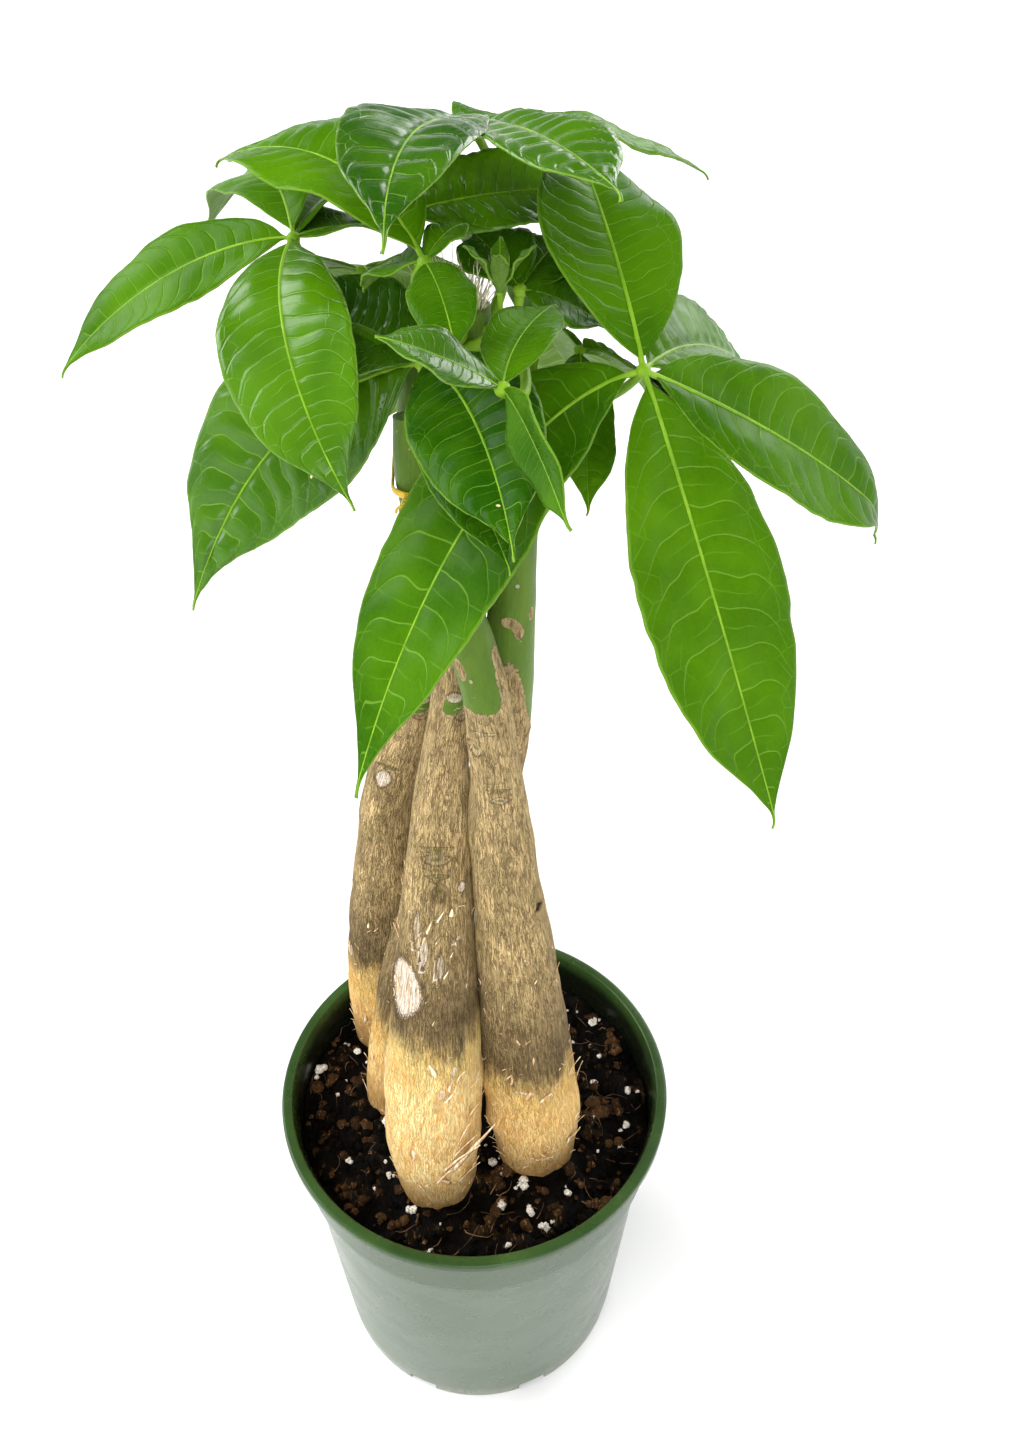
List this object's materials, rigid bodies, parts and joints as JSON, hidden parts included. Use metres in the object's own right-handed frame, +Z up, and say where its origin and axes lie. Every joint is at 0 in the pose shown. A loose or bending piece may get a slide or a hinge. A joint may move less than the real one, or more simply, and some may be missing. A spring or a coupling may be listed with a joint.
{
  "type": "potted money tree",
  "caption": "Potted money tree: braided trunks under a crown of hand-shaped leaves, rooted in soil in a round plastic nursery pot that stands on its flat base.",
  "frame": {"origin": "centre of the pot's flat underside, on the pot's axis", "axes": "+Z up along the pot's axis; -Y towards the front, where the long low leaves hang"},
  "size_m": [0.238, 0.2509, 0.5216],
  "materials": {
    "pot_plastic": "satin grey-green moulded plastic",
    "potting_mix": "damp dark peat with white perlite grains",
    "bark": "fissured grey-brown bark, yellow-tan at the foot, green young wood above",
    "leaf_blade": "semi-gloss green leaf with pale veins",
    "young_leaf": "fresh light green with a soft sheen",
    "tie_plastic": "yellow plastic-covered wire"
  },
  "bodies": {
    "root": {"pot": "pot_plastic", "soil": "potting_mix", "stem_front": "bark", "stem_right": "bark", "stem_left": "bark", "stem_back": "bark", "twist_tie": "tie_plastic", "leaf_right": "leaf_blade", "leaf_left": "leaf_blade", "leaf_front_low": "leaf_blade", "leaf_front_high": "leaf_blade", "leaf_top": "leaf_blade", "leaf_middle": "leaf_blade", "leaf_front_young": "leaf_blade", "leaf_centre_young": "leaf_blade", "leaf_back_right": "leaf_blade", "leaf_back_left": "leaf_blade", "leaf_back_low": "leaf_blade", "leaf_side_right": "leaf_blade", "young_shoot": "young_leaf"}
  },
  "joints": []
}
